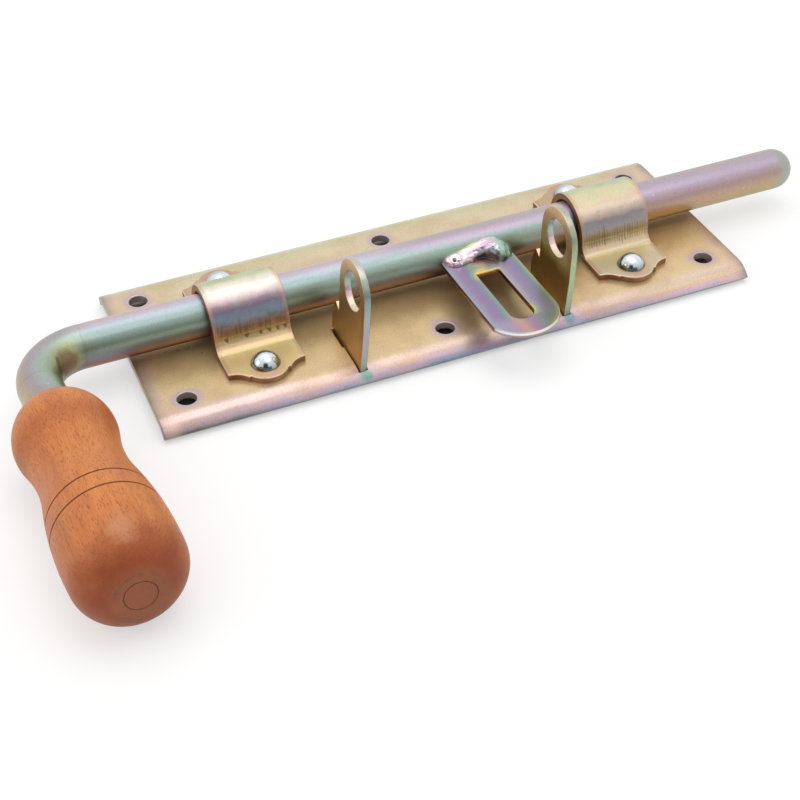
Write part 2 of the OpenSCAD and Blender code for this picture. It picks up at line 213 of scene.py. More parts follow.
# %% Colours from patterns
def ramp(value, low, high, stops):
    """A colour ramp over a length or an angle from low to high, with its stops given in that unit."""
    colours = put("ValToRGB", spread(value, low, high))
    elements = colours.socket.node.color_ramp.elements
    for i, (place, colour) in enumerate(stops):
        element = elements[i] if i < 2 else elements.new(1.0)
        element.position = (place - low) / (high - low)
        element.color = seen(*colour)
    return colours


def mixed(share, first, second, how="MIX"):
    """Colour first where share is 0, and second where it is 1."""
    return put("Mix", share, *[None] * 5, first, second, output=2, data_type="RGBA", blend_type=how)


def tinted(colour, hue, share):
    """The colour, turned to a given hue where share is 1."""
    return mixed(share, colour, seen(*hue))


def speckled(colour, grains, shade, dark=0.2, clear=0.5):
    """The colour, darkened by this shade where the grains are low."""
    return mixed(1.0, colour, ramp(grains, 0, 1, [(dark, shade), (clear, grey(1))]), "MULTIPLY")


print("colours are ready")


# %% [markdown]
# A finish is a material whose colour, roughness and relief come from patterns. It starts with the place
# on the object, and ends in the shader's inputs, so two functions hold what all finishes share. A third
# one puts the finish on the pieces, in place of what they have.

# %% Start and end of a finish
def start_finish(name):
    """A new material, and the place on the object in millimetres, whole and as x, y and z."""
    coat = bpy.data.materials.new(name)
    coat.use_nodes = True
    metres = Pattern(coat.node_tree.nodes.new("ShaderNodeTexCoord").outputs["Object"])
    place = put("VectorMath", metres, operation="SCALE")
    place.socket.node.inputs["Scale"].default_value = 1000
    return coat, place, *parts(place)


def normal_of(coat):
    """The x, y and z of the direction in which the object's surface points."""
    return parts(Pattern(coat.node_tree.nodes.new("ShaderNodeTexCoord").outputs["Normal"]))


def end_finish(coat, colour, roughness, metallic, height, depth, specular=0.5):
    """Wires the patterns into the shader. height goes from 0 to 1, and depth is its relief in millimetres."""
    bump = coat.node_tree.nodes.new("ShaderNodeBump")
    wire(bump.inputs["Height"], height)
    wire(bump.inputs["Distance"], depth / 1000)
    shader = coat.node_tree.nodes["Principled BSDF"]
    for name, value in (("Base Color", colour), ("Roughness", roughness), ("Metallic", metallic),
                        ("Specular IOR Level", specular), ("Normal", Pattern(bump.outputs[0]))):
        wire(shader.inputs[name], value)


def dress(coat, *names):
    """Gives CAD nodes, or new pieces, this finish."""
    for name in names:
        bpy.data.objects[name].data.materials.clear()
        bpy.data.objects[name].data.materials.append(coat)
    print(coat.name, "has", len(coat.node_tree.nodes), "nodes and is on", *names)


print("helpers are ready")

# %% [markdown]
# ## Softened edges
# Sheared and punched steel never has knife edges: the plating and the tumbling leave a radius of a
# third of a millimetre that catches the light as a thin bright line. The pieces could be modelled again
# with round edges, but their shapes are right, so the nodes' own meshes stay as they are and modifiers
# work on them. Weld joins the loose triangles, a planar Decimate turns each flat into one
# face, Bevel rounds the edges that turn by more than 35 degrees, and Weighted Normal lets the large faces
# set the shading, so that a flat looks flat right up to its edge.

# %% Soften the edges
edge_radius = {"base_plate": 0.35, "left_keeper": 0.3, "right_keeper": 0.3, "left_padlock_eye": 0.3,
               "right_padlock_eye": 0.3, "hasp": 0.35}
for name, radius in edge_radius.items():
    weld = nodes[name].modifiers.new("join", "WELD")
    weld.merge_threshold = 1e-6
    flats = nodes[name].modifiers.new("whole flats", "DECIMATE")
    flats.decimate_type = "DISSOLVE"
    flats.angle_limit = math.radians(0.4)
    bevel = nodes[name].modifiers.new("soft edges", "BEVEL")
    bevel.width = radius / 1000
    bevel.segments = 2
    bevel.limit_method = "ANGLE"
    bevel.angle_limit = math.radians(35)
    bevel.use_clamp_overlap = False
    shading = nodes[name].modifiers.new("flat shading", "WEIGHTED_NORMAL")
    shading.weight = 50
print("softened", len(edge_radius), "nodes")

# %% [markdown]
# ## The weld bead on the hasp
# A weld bead froze while it flowed: it is bulged and lumpy, with a crater where the arc dwelt and a pit
# where gas got out. A row of joined blobs would look lumpy too, but wouldn't fit the corner that it lies
# in, so one closed skin is laid there. A sphere's poles become the bead's two ends, and each ring of its
# vertices goes into the corner between hasp and bar: half of it follows those two surfaces, and half
# bulges between the bead's lower and upper edge, which both wander. Noise adds lumps, and smooth dents
# make the hollows. How far a vertex is turned from the lower edge (0) to the upper one (1) is kept for
# the finish.

# %% Edges of the bead
# height of the bar's axis over the plate, of the hasp's top over that axis, and a radius just round the bar
bar_axis_z, hasp_top, bar_wall = 9.6, 1.52, 8.06
corner = math.sqrt(bar_wall ** 2 - hasp_top ** 2)
corner_angle = math.degrees(math.asin(hasp_top / bar_wall))
# place along the bar, and distance of the lower edge from the bar's axis
lower_edge = ((4.0, corner), (4.9, 10.9), (6.4, 12.6), (9.7, 13.2), (12.6, 12.3), (15.3, 12.2), (19.5, 12.6),
              (21.5, 14.6), (23.1, 15.9), (26.5, 16.2), (29.2, 15.2), (31.2, 12.0), (32.2, corner))
# place along the bar, and angle of the upper edge round it
upper_edge = ((4.0, corner_angle), (5.2, 21), (7.7, 27), (11.1, 31), (14.0, 37), (16.7, 43), (21.4, 50),
              (25.1, 48), (27.2, 41), (28.9, 31), (31.0, 20), (32.2, corner_angle))


def follow(edge, x):
    """The value of an edge at a place along the bar, on straight lines between its points."""
    i = max(i for i in range(len(edge) - 1) if i == 0 or x >= edge[i][0])
    (x0, v0), (x1, v1) = edge[i], edge[i + 1]
    share = min(max((x - x0) / (x1 - x0), 0), 1)
    return v0 + (v1 - v0) * share


print("bead runs from", lower_edge[0][0], "to", lower_edge[-1][0], "mm")

# %% Skin of the bead
def bump_up(distance):
    """1 in the middle of a dent, and 0 from distance 1 on."""
    return (1 - min(distance, 1) ** 2) ** 2


def on_bar(angle):
    """The place on the bar's wall at an angle round it: across the bar, and up."""
    return Vector((-bar_wall * math.cos(angle), bar_wall * math.sin(angle)))


crater_x, crater_turn, notch_x, pit_x, pit_y = 19.8, 0.1, 28.6, 7.7, -11.3


def bulged(x, turn, low, high):
    """A place on the bead's outer half, between its lower and its upper edge: across the bar, and up."""
    chord = high - low
    out = Vector((-chord.y, chord.x)).normalized() if chord.length > 1e-6 else Vector((0, 1))
    # it stands out by a share of its width, and by a smaller one near its right end
    bulge = (0.29 - 0.09 * bump_up((32 - x) / 8)) * chord.length * (4 * turn * (1 - turn)) ** 0.65
    spot = low + chord * turn + out * bulge
    where = Vector((x, spot.x, spot.y))
    # lumps die away at its two edges and where it is narrow
    loose_rim = min(1, 5 * turn * (1 - turn)) * min(1, chord.length / 4)
    lumps = 0.55 * noise.noise(where / 3.1) + 0.22 * noise.noise(where / 1.1 + Vector((9, 2, 5)))
    # each has its depth in millimetres, and is divided by its reach along the bar and round the bead
    crater = 2.4 * bump_up(math.hypot((x - crater_x) / 5.6, (turn - crater_turn) / 0.28))
    lip = 0.45 * bump_up(math.hypot((x - 20.5) / 7.0, (turn - 0.5) / 0.18))
    notch = 0.9 * bump_up(math.hypot((x - notch_x) / 3.2, (turn - crater_turn) / 0.2))
    pit = 1.2 * bump_up(math.hypot(x - pit_x, spot.x - pit_y) / 0.95)
    return spot + out * (loose_rim * (lumps + lip) - crater - notch - pit)


print("a dent is half as deep at", round(math.sqrt(1 - math.sqrt(0.5)), 2), "of its reach")

# %% Lay a sphere into the corner of hasp and bar
bead_middle, bead_half = 18.1, 14.1
shape = bmesh.new()
turn_layer = shape.verts.layers.float.new("turn")
bmesh.ops.create_uvsphere(shape, u_segments=96, v_segments=100, radius=1)
outer = []
for vertex in shape.verts:
    x = bead_middle + bead_half * vertex.co.z
    turn = math.atan2(vertex.co.y, vertex.co.x) / math.pi
    vertex[turn_layer] = turn
    low = Vector((-follow(lower_edge, x), hasp_top))
    rim_angle = math.radians(follow(upper_edge, x))
    if turn >= 0:
        spot = bulged(x, turn, low, on_bar(rim_angle))
        if turn * (1 - turn) > 0.01:
            outer.append(vertex)
    elif turn > -0.5:
        spot = low.lerp(Vector((-corner, hasp_top)), -2 * turn)
    else:
        from_corner = -2 * turn - 1
        spot = on_bar(math.radians(corner_angle) + (rim_angle - math.radians(corner_angle)) * from_corner)
    spot.y = max(spot.y, hasp_top)
    if spot.length < bar_wall:
        spot = spot.normalized() * bar_wall
    vertex.co = (x, spot.x, spot.y)
bmesh.ops.smooth_vert(shape, verts=outer, factor=0.5, use_axis_x=True, use_axis_y=True, use_axis_z=True)
print("bead has", len(shape.verts), "vertices,", len(outer), "of them on its bulge")

# %% Place the bead on the hasp
hasp_tilt = 1.8
bmesh.ops.rotate(shape, matrix=Matrix.Rotation(math.radians(-hasp_tilt), 3, "X"), verts=shape.verts)
bmesh.ops.translate(shape, vec=(0, 0, bar_axis_z), verts=shape.verts)
bmesh.ops.scale(shape, vec=(0.001, 0.001, 0.001), verts=shape.verts)
bmesh.ops.recalc_face_normals(shape, faces=shape.faces)
for face in shape.faces:
    face.smooth = True
bead_mesh = bpy.data.meshes.new("hasp_bead")
shape.to_mesh(bead_mesh)
shape.free()
bead = bpy.data.objects.new("hasp_bead", bead_mesh)
bpy.context.scene.collection.objects.link(bead)
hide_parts("hasp_weld")
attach(bead, "bolt_turner")
print("bead's right end lies at", [round(v * 1000, 1) for v in bead_mesh.vertices[0].co])

# %% [markdown]
# ## The sheet's passivated coat
# On the plate the colour follows the shape of the sheet. The flat is gold with a sandy mottle. Towards
# the bent front edge it turns cream, pink, lilac and blue-green in bands, and the rear edge is
# yellow-green. Round every hole lies a lilac halo, and the corners are pinkish. A thin film's colours
# could be worked out from its thickness, but the bands are easier to place with one ramp over the
# distance across the plate, and noise moves their borders so that they look grown.

# %% Plate finish
coat, place, x, y, z = start_finish("passivated plate")
wander = sway(-1.8, 3.6, cloud(place, 22, 3))
across = y + wander
# the cream stops at -39 and -37 mm, where the bend starts, are partly a painted highlight, and the darker
# stop at -14 mm, beside the bar, is partly painted shade
front_bands = [(-46.4, (0.36, 0.42, 0.42)), (-45.2, (0.50, 0.58, 0.66)), (-43.6, (0.74, 0.66, 0.74)),
               (-42, (0.75, 0.65, 0.61)), (-40.5, (0.85, 0.74, 0.71)), (-39, (0.90, 0.81, 0.72)),
               (-37, (0.91, 0.81, 0.65)), (-33, (0.91, 0.80, 0.62)), (-24, (0.93, 0.81, 0.61)),
               (-14, (0.88, 0.78, 0.57))]
rear_bands = [(20, (0.86, 0.80, 0.68)), (32, (0.87, 0.81, 0.68)), (37, (0.82, 0.79, 0.65)),
              (41, (0.80, 0.79, 0.66)), (45.5, (0.72, 0.76, 0.63))]
bands = ramp(across, -48, 48, front_bands + rear_bands)
blotches = rise(cloud(place, 30, 5, 0.65), 0.42, 0.62)
colour = tinted(bands, (0.76, 0.62, 0.46), blotches * 0.4)
print("plate bands:", len(front_bands) + len(rear_bands), "stops")

# %% Ends of the front edge
# the left end of the bent edge is pinker, with a dark line below, and the right end stays lilac
left_end = rise(x + wander * 6.0, -58, -98)
pink = rise(across, -35, -38) * rise(across, -42.2, -40.6)
colour = tinted(colour, (0.87, 0.77, 0.79), left_end * pink * 0.6)
lip_left = left_end * rise(across, -40.6, -42.2)
colour = tinted(colour, (0.66, 0.57, 0.58), lip_left * 0.7)
dark_line = left_end * rise(across, -43.8, -45.0)
colour = tinted(colour, (0.34, 0.40, 0.42), dark_line * 0.8)
right_end = rise(x, 50, 98) * rise(across, -39.5, -41.5)
right_bands = ramp(across, -48, -36, [(-45.6, (0.65, 0.70, 0.84)), (-43.8, (0.89, 0.74, 0.77)),
                                      (-42, (0.88, 0.77, 0.62)), (-40.5, (0.84, 0.76, 0.63))])
colour = mixed(right_end * 0.85, colour, right_bands)
# the sheet's cut edge at the front is a dark grey-green, partly the thicker coat and partly painted shade on
# its downward faces
facing_up = normal_of(coat)[2]
cut_edge = rise(facing_up, -0.2, -0.5) * rise(y, -40, -42)
colour = tinted(colour, (0.34, 0.40, 0.38), cut_edge * 0.8)
print("edge ends are tinted")

# %% [markdown]
# The distance to the nearest of the six screw holes comes from folding the plate along its middle, so
# that its two rows of holes lie on each other, and along a row the holes stand at three places. The
# smallest of three distances drives the halo.

# %% Halos round the plate's holes
hole_places, hole_row = (-103.4, -5.1, 103.4), 31.3
from_row = abs(y) - hole_row
left, middle, right = [distance(vector(x - hole_x, from_row, 0)) for hole_x in hole_places]
near_hole = maths("MINIMUM", maths("MINIMUM", left, middle), right)
near_hole = sway(near_hole - 1.5, 3.0, cloud(place, 9, 2))
halo = ramp(near_hole, 3, 10, [(3.2, (0.80, 0.76, 0.74)), (4.2, (0.76, 0.68, 0.74)),
                               (6, (0.84, 0.73, 0.68)), (9, (0.86, 0.76, 0.60))])
colour = mixed(rise(near_hole, 9, 4) * 0.8, colour, halo)
print("halos lie round", 2 * len(hole_places), "holes")

# %% Stained ends and feet of the eyes
plate_end = 115.7
end_distance = sway(plate_end - abs(x), 5.0, cloud(place, 14, 2))
ends = ramp(end_distance, 0, 14, [(2.6, (0.58, 0.54, 0.50)), (4, (0.74, 0.64, 0.60)),
                                  (7, (0.86, 0.74, 0.68)), (12, (0.86, 0.76, 0.58))])
colour = mixed(rise(end_distance, 11, 4) * 0.75, colour, ends)
eye_feet = ((-40.7, (0.44, 0.64, 0.57)), (40.2, (0.45, 0.60, 0.64)))
for foot_x, stain in eye_feet:
    off = sway(distance(place, (foot_x, -43.4, -1)), 2.4, cloud(place, 3, 2))
    colour = tinted(colour, (0.72, 0.66, 0.80), rise(off, 9, 4) * 0.3)
    colour = tinted(colour, stain, rise(off, 4.6, 2.8) * 0.85)
print("stains lie at", len(eye_feet), "eyes")

# %% Sandy mottle and end of the plate finish
sand = cloud(place, 0.6, 4, 0.8)
colour = speckled(colour, sand, (0.87, 0.85, 0.82), 0.30, 0.52)
rough = spread(cloud(place, 12, 4, 0.6), 0.3, 0.7, 0.27, 0.36)
end_finish(coat, colour, rough, 0.62, sand, 0.014)
dress(coat, "base_plate")

# %% [markdown]
# ## Keepers
# A keeper's coat changes as the strap comes down from its crown: cream on top, then pink, blue and brown,
# and gold at the foot. The bending tool has dragged brown streaks down the front: six dents on the left
# keeper, and a comb of fine lines on the right one. The rear half is yellow and green. The two keepers
# differ, so one function makes both finishes from two lists of colours and a pattern of tool marks.

# %% Colours down a keeper
# height over the plate in millimetres, and the colour there
# the brightest stop on the left keeper's heel, at 4.6 mm, is partly a painted highlight
left_front = [(2.4, (0.88, 0.78, 0.54)), (3.0, (0.83, 0.72, 0.56)), (3.7, (0.88, 0.77, 0.60)),
              (4.6, (0.93, 0.82, 0.64)), (6, (0.83, 0.71, 0.50)), (8.5, (0.65, 0.50, 0.34)),
              (10, (0.53, 0.38, 0.30)), (11.5, (0.55, 0.46, 0.43)), (13, (0.62, 0.65, 0.73)),
              (14.5, (0.49, 0.54, 0.60)), (16, (0.48, 0.43, 0.50)), (17.5, (0.56, 0.48, 0.51)),
              (18.8, (0.76, 0.68, 0.68)), (20.6, (0.92, 0.90, 0.84))]
right_front = [(2.4, (0.84, 0.78, 0.64)), (3.4, (0.83, 0.74, 0.62)), (4.6, (0.84, 0.75, 0.61)),
               (6, (0.83, 0.75, 0.58)), (8.5, (0.66, 0.58, 0.42)), (10, (0.64, 0.57, 0.48)),
               (11.5, (0.66, 0.62, 0.61)), (13, (0.61, 0.59, 0.62)), (14.5, (0.57, 0.53, 0.52)),
               (16, (0.75, 0.67, 0.62)), (17.5, (0.86, 0.78, 0.71)), (18.8, (0.81, 0.73, 0.63)),
               (20.6, (0.86, 0.83, 0.68))]
rear = [(2.3, (0.76, 0.66, 0.52)), (6, (0.72, 0.66, 0.60)), (10, (0.66, 0.70, 0.66)),
        (15, (0.58, 0.68, 0.57)), (18.5, (0.64, 0.69, 0.56)), (19.6, (0.68, 0.73, 0.59)),
        (20.6, (0.80, 0.81, 0.64))]
print("keeper colours:", len(left_front), "heights in front and", len(rear), "behind")


# %% Keeper finish
def keeper_finish(name, centre, front_colours):
    """A keeper's bands, before its marks: the material, the colour, and the place from its middle."""
    coat, place, x, y, z = start_finish(name)
    along = x - centre
    wander = sway(-1.1, 2.2, cloud(place, 7, 3)) * rise(z, 3, 8)
    height = z + wander
    front = ramp(height, 0, 22, front_colours)
    back = ramp(height, 0, 22, rear)
    # the foot is painted paler next to the arch, as painted light that lifts the arch's shade
    painted_light_by_arch = rise(z, 2.7, 2.55) * rise(y, -25, -17)
    front = tinted(front, (0.98, 0.93, 0.70), painted_light_by_arch * 0.85)
    return coat, mixed(rise(y, -1, 3), front, back), place, along, y, z


# %% Tool marks
def dents(along, y, z):
    """Six short dents in the lower bend, each with a broad stain dragged up over it, from 0 to 1."""
    shake = sway(-0.6, 1.2, cloud(vector(along * 0.5, 0, z), 2.6, 2))
    ragged = sway(-0.6, 1.2, cloud(vector(along, 0, z), 1.2, 2))
    upright = rise(z, 7.4, 6.6) * rise(z, 4.9, 5.5)
    marked = 0.0
    for spot, top in ((-9.8, 11.5), (-2.3, 13.0), (3.0, 13.4), (6.4, 12.8), (9.5, 13.2), (12.3, 11.6)):
        off = abs(along - spot + shake)
        # a dent is widest at its upper end, and comes to a ragged point below
        width = rise(z, 4.2, 7.0) - ragged
        dent = rise(off - width, 0.1, -0.4) * upright
        stain = rise(off, 1.3, 0.2) * rise(z, top, top - 3.5) * rise(z, 6.8, 9.0)
        marked = most(marked, dent, stain * 0.55)
    scratches = cloud(vector(along, 0, z * 0.1), 0.8, 2)
    scratches = rise(scratches, 0.48, 0.64) * rise(z, 14.0, 10.5) * rise(z, 5.0, 8.0)
    return most(marked, scratches * 0.55) * rise(y, -9, -10.5)


def comb(along, y, z):
    """Fine upright lines of uneven length and strength, from 0 to 1."""
    spacing = 1.1
    where = vector(along, 0, z * 0.12)
    uneven = cloud(where, 0.9, 2)
    lines = maths("SINE", sway(along * (2 * math.pi / spacing), 7.0, uneven))
    top = sway(9.4, 5.0, uneven)
    reach_up = rise(z - top, 1.2, -2.4)
    foot = sway(5.4, -2.4, cloud(where, 1.7, 1))
    lines = rise(lines, -0.6, 1.0) * reach_up * rise(z - foot, 0, 1.2)
    strength = rise(cloud(where, 2.3, 2), 0.25, 0.6)
    return lines * strength * rise(y, -9, -10.5)


print("tool marks are two functions")

# %% Walls and rims of the keepers
def sheared(coat, colour, place, along, z):
    """Pink near the strap's sides, brown on its cut walls, and a painted cream highlight on the foot's rolled
    upper edge.
    """
    half_width = 14.0
    side = sway(half_width - abs(along), 0.8, cloud(place, 3, 2))
    colour = tinted(colour, (0.76, 0.60, 0.52), rise(side, 2.2, 0.6) * 0.5)
    normal = normal_of(coat)
    foot = rise(z, 2.62, 2.52)
    under = foot * rise(normal[2], 0.75, 0.25)
    wall = most(under, rise(abs(normal[0]), 0.6, 0.9))
    walls = ramp(sway(along, 5, cloud(place, 4, 2)), -16, 18, [
        (-12, (0.52, 0.36, 0.26)), (2, (0.58, 0.44, 0.32)), (8, (0.54, 0.54, 0.36)),
        (14, (0.56, 0.46, 0.32))])
    colour = mixed(wall, colour, walls)
    # a painted highlight along the foot's rolled upper edge
    painted_edge_highlight = foot * rise(normal[2], 0.99, 0.95) * rise(z, 1.9, 2.2)
    return tinted(colour, (0.96, 0.88, 0.79), painted_edge_highlight * 0.9)


print("walls and rims are one function")

# %% Dress the keepers
# each keeper's middle, its colours in front, its tool marks, how dark they are and how deep in millimetres
keepers = {"left_keeper": (-72.6, left_front, dents, 0.7, 0.16),
           "right_keeper": (74.5, right_front, comb, 0.45, 0.07)}
rivet_row = 29.5
for name, (centre, front_colours, marks, stain, cut) in keepers.items():
    coat, colour, place, along, y, z = keeper_finish("passivated " + name, centre, front_colours)
    marked = marks(along, y, z)
    teal_spots = rise(cloud(place, 5, 3, 0.6), 0.52, 0.68)
    band = rise(z, 9, 12) * rise(z, 19.5, 17)
    colour = tinted(colour, (0.50, 0.60, 0.58), teal_spots * band * 0.45)
    colour = tinted(colour, (0.36, 0.24, 0.16), marked * stain)
    colour = sheared(coat, colour, place, along, z)
    from_rivet = distance(vector(along, abs(y), 0), (0, rivet_row, 0))
    colour = tinted(colour, (0.80, 0.60, 0.56), rise(from_rivet, 8, 4.5) * 0.5)
    sand = cloud(place, 0.5, 3, 0.7)
    end_finish(coat, speckled(colour, sand, grey(0.86)), 0.33, 0.7, sand * 0.12 - marked, cut)
    dress(coat, name)

# %% [markdown]
# ## Padlock eyes
# The eyes' flat sides are olive gold, with an orange-brown band along the front edge. The sheared edges
# show a thicker coat: silver, lilac and green on the front edge, and the bore runs from blue over green
# to cream. Two materials could share out the faces, but a node's mesh isn't touched, and where a face
# points tells edge from side, so the object's own normal picks the colour.

# %% Eye finish
def eye_finish(name, face_heights, edge_heights):
    """A padlock eye's coat, from the colours up its sides and those up its cut edges."""
    coat, place, _, y, z = start_finish(name)
    side = rise(abs(normal_of(coat)[0]), 0.5, 0.8)
    height = sway(z - 4.0, 8.0, cloud(place, 6, 3))
    face = ramp(height, -2, 42, face_heights)
    band = sway(y + 42.5, 2.0, cloud(place, 6, 3))
    band = rise(band, 4.5, 2.4) * rise(z, 30, 24)
    face = tinted(face, (0.74, 0.50, 0.36), band * 0.6)
    edge = ramp(sway(z, 6.0, cloud(place, 5, 3)), 0, 44, edge_heights)
    bore_y, bore_z, bore_radius = -30.9, 26.7, 7.2
    from_bore = distance(vector(0, y, z), (0, bore_y, bore_z))
    bore = ramp(z, 19, 35, [(19.5, (0.92, 0.84, 0.74)), (22.5, (0.88, 0.76, 0.80)),
                            (26, (0.62, 0.76, 0.68)), (29, (0.58, 0.66, 0.82)), (33, (0.66, 0.60, 0.62))])
    edge = mixed(rise(from_bore, 8.2, 7.6), edge, bore)
    rear_edge = rise(y, -24.5, -22.5) * rise(z, 26, 22)
    edge = tinted(edge, (0.92, 0.80, 0.68), rear_edge)
    colour = mixed(side, edge, face)
    ring = abs(from_bore - bore_radius)
    colour = tinted(colour, (0.86, 0.72, 0.58), rise(ring, 1.1, 0.2) * side * 0.6)
    sand = cloud(place, 0.5, 3, 0.7)
    tears = cloud(stretched(place, 3, 3, 0.8), 1.0, 3, 0.6)
    end_finish(coat, speckled(colour, sand, grey(0.84)), 0.33, 0.85, between(side, tears, sand), 0.05)
    return coat


left_coat = eye_finish("passivated left eye", [
    (1, (0.76, 0.60, 0.36)), (10, (0.78, 0.64, 0.40)), (19, (0.82, 0.66, 0.44)), (26, (0.86, 0.66, 0.46)),
    (33, (0.90, 0.76, 0.56)), (38, (0.98, 0.86, 0.66))], [
    (3, (0.62, 0.66, 0.60)), (9, (0.66, 0.67, 0.62)), (17, (0.68, 0.66, 0.69)), (25, (0.66, 0.68, 0.68)),
    (30, (0.60, 0.65, 0.66)), (33, (0.56, 0.63, 0.61)), (37, (0.62, 0.68, 0.63)), (40, (0.74, 0.73, 0.71)),
    (43, (0.82, 0.78, 0.74))])
dress(left_coat, "left_padlock_eye")
right_coat = eye_finish("passivated right eye", [
    (1, (0.74, 0.60, 0.32)), (7, (0.64, 0.50, 0.26)), (14, (0.60, 0.48, 0.24)), (20, (0.84, 0.74, 0.46)),
    (27, (0.72, 0.58, 0.38)), (33, (0.76, 0.62, 0.42)), (38, (0.96, 0.82, 0.62))], [
    (3, (0.60, 0.66, 0.59)), (13, (0.65, 0.74, 0.58)), (25, (0.68, 0.76, 0.59)), (31, (0.62, 0.68, 0.54)),
    (36, (0.62, 0.66, 0.57)), (40, (0.70, 0.72, 0.67)), (43, (0.76, 0.73, 0.72))])
dress(right_coat, "right_padlock_eye")

# %% [markdown]
# ## The bar
# The bar's colour runs in bands along its length: lilac on top, teal down the front, and browner
# underneath, where the brown is partly a painted reflection of the gold plate, and a darker band low on
# the front is partly painted shade. To the right of the second keeper it is lilac and tan, and its nose
# is grey-green. A UV map would unroll the bar, but its mesh has none, so the angle round the axis drives
# the bands. The bend carries them on, so its own round section is unrolled the same way from the
# distance to the circle that its axis follows.

# %% Angle round the bar, and round the bend
coat, place, x, y, z = start_finish("passivated bar")
elbow_x, bend_angle, bend_radius = -150.8, 92.4, 18.6
bend_x = elbow_x + bend_radius * math.tan(math.radians(bend_angle / 2))
round_centre = distance(vector(x - bend_x, y + bend_radius, 0))
outward = between(rise(x, bend_x - 2, bend_x + 2), round_centre - bend_radius, y)
angle = maths("ARCTAN2", z - bar_axis_z, -outward) * (180 / math.pi)
angle = angle + sway(-15.0, 30.0, cloud(stretched(place, 40, 12, 12), 1.0, 3))
print("bend starts at x =", round(bend_x, 2), "mm")

# %% Bands of the bar
# below -20 degrees the brown is partly a painted reflection of the gold plate, and the dark band from -10 to
# 5 degrees is partly painted shade
teal = ramp(angle, -180, 180, [
    (-178, (0.78, 0.70, 0.66)), (-100, (0.71, 0.64, 0.56)), (-45, (0.62, 0.46, 0.36)),
    (-22, (0.59, 0.45, 0.41)), (-8, (0.54, 0.51, 0.54)), (5, (0.53, 0.58, 0.56)), (20, (0.60, 0.67, 0.60)),
    (35, (0.62, 0.70, 0.64)), (50, (0.62, 0.69, 0.68)), (62, (0.57, 0.64, 0.64)), (75, (0.67, 0.70, 0.74)),
    (88, (0.79, 0.75, 0.80)), (105, (0.80, 0.72, 0.71)), (140, (0.80, 0.75, 0.68)),
    (178, (0.78, 0.70, 0.66))])
# the tan below 0 degrees is partly a painted reflection of the gold plate
lilac = ramp(angle, -180, 180, [
    (-178, (0.76, 0.70, 0.66)), (-100, (0.74, 0.64, 0.46)), (-30, (0.77, 0.69, 0.50)),
    (0, (0.75, 0.64, 0.53)), (25, (0.72, 0.61, 0.60)), (50, (0.72, 0.66, 0.73)), (70, (0.72, 0.66, 0.73)),
    (90, (0.74, 0.68, 0.70)), (115, (0.73, 0.68, 0.67)), (178, (0.76, 0.70, 0.66))])
drift = sway(x, 20.0, cloud(place, 18, 2))
lilac_side = rise(drift, 38, 92)
lilac_top = rise(drift, -14, 16) * rise(angle, 48, 66)
colour = mixed(most(lilac_side, lilac_top), teal, lilac)
nose = rise(sway(x, 8.0, cloud(place, 10, 2)), 150, 162)
colour = tinted(colour, (0.66, 0.69, 0.66), nose)
# as on the straight bar, the darker band from -20 to 10 degrees is partly painted shade
bend_colours = ramp(angle, -180, 180, [
    (-178, (0.76, 0.71, 0.66)), (-110, (0.76, 0.71, 0.70)), (-60, (0.68, 0.67, 0.67)),
    (-20, (0.51, 0.47, 0.46)), (10, (0.54, 0.51, 0.42)), (40, (0.60, 0.62, 0.49)), (70, (0.64, 0.71, 0.64)),
    (90, (0.66, 0.68, 0.68)), (110, (0.68, 0.63, 0.65)), (140, (0.71, 0.65, 0.57)),
    (165, (0.74, 0.70, 0.60)), (178, (0.76, 0.71, 0.66))])
colour = mixed(rise(x, bend_x + 6, bend_x - 8), colour, bend_colours)
near_grip = rise(sway(y, 8.0, cloud(place, 8, 2)), -22, -36)
colour = tinted(colour, (0.60, 0.58, 0.52), near_grip * 0.45)
print("bar has three ramps: teal, lilac and the bend's")

# %% The crease inside the bend
# Bending a solid bar pinches its inner side, which leaves a dull brown patch with a crease, painted dark
# along it as shade.
pinch_middle, crease_x = (-138.6, -10.6, bar_axis_z + 2.6), -141.9
patch = sway(distance(place, pinch_middle), 3.0, cloud(place, 2.5, 3))
pinched = rise(patch, 7.2, 5.0)
colour = tinted(colour, (0.66, 0.66, 0.42), rise(patch, 9.5, 7.2) * 0.4)
colour = tinted(colour, (0.55, 0.44, 0.36), pinched * 0.75)
# painted shade along the crease
crease = rise(abs(x - crease_x), 0.9, 0.1) * rise(y, -19.5, -17.5) * rise(y, -9.6, -10.8) * rise(z, 9.0, 11.5)
colour = tinted(colour, (0.34, 0.27, 0.23), crease * 0.55)
print("crease lies", round(bend_x - crease_x, 1), "mm past the bend's start")

# %% Painted glints, sand and drawn lines of the bar
glint_spacing = 6
painted_glints = put("TexVoronoi", place, None, 1 / glint_spacing)
# white specks painted as glints of light
colour = tinted(colour, (0.92, 0.90, 0.86), rise(painted_glints, 0.06, 0.03) * 0.6)
sand = cloud(place, 0.6, 3, 0.7)
drawn = cloud(stretched(place, 30, 0.7, 0.7), 1.0, 2)
relief = sand * 0.5 + drawn * 0.5 - crease * 1.5
end_finish(coat, speckled(colour, sand, grey(0.86)), spread(pinched, 0, 1, 0.40, 0.55), 1.0, relief, 0.04)
dress(coat, "bolt_shank", "bolt_crank")

# %% [markdown]
# ## Hasp
# The hasp's coat runs in stripes along its two arms, purple in their middle and green-blue towards the
# edges, and round its end the stripes turn through pink and orange to green. So one ramp across gives the
# arms and another one the end. The slot has a yellow halo on two corners and along its square end, which
# needs the distance to its edge. No node here measures that from the mesh, but the hasp and its slot are
# close to strips with round ends, and how far a place lies from such a strip is short to work out.

# %% Distance to the hasp's edges
coat, place, x, y, z = start_finish("passivated hasp")
reach = -y
drift = sway(x - 1.2, 2.4, cloud(place, 9, 3))


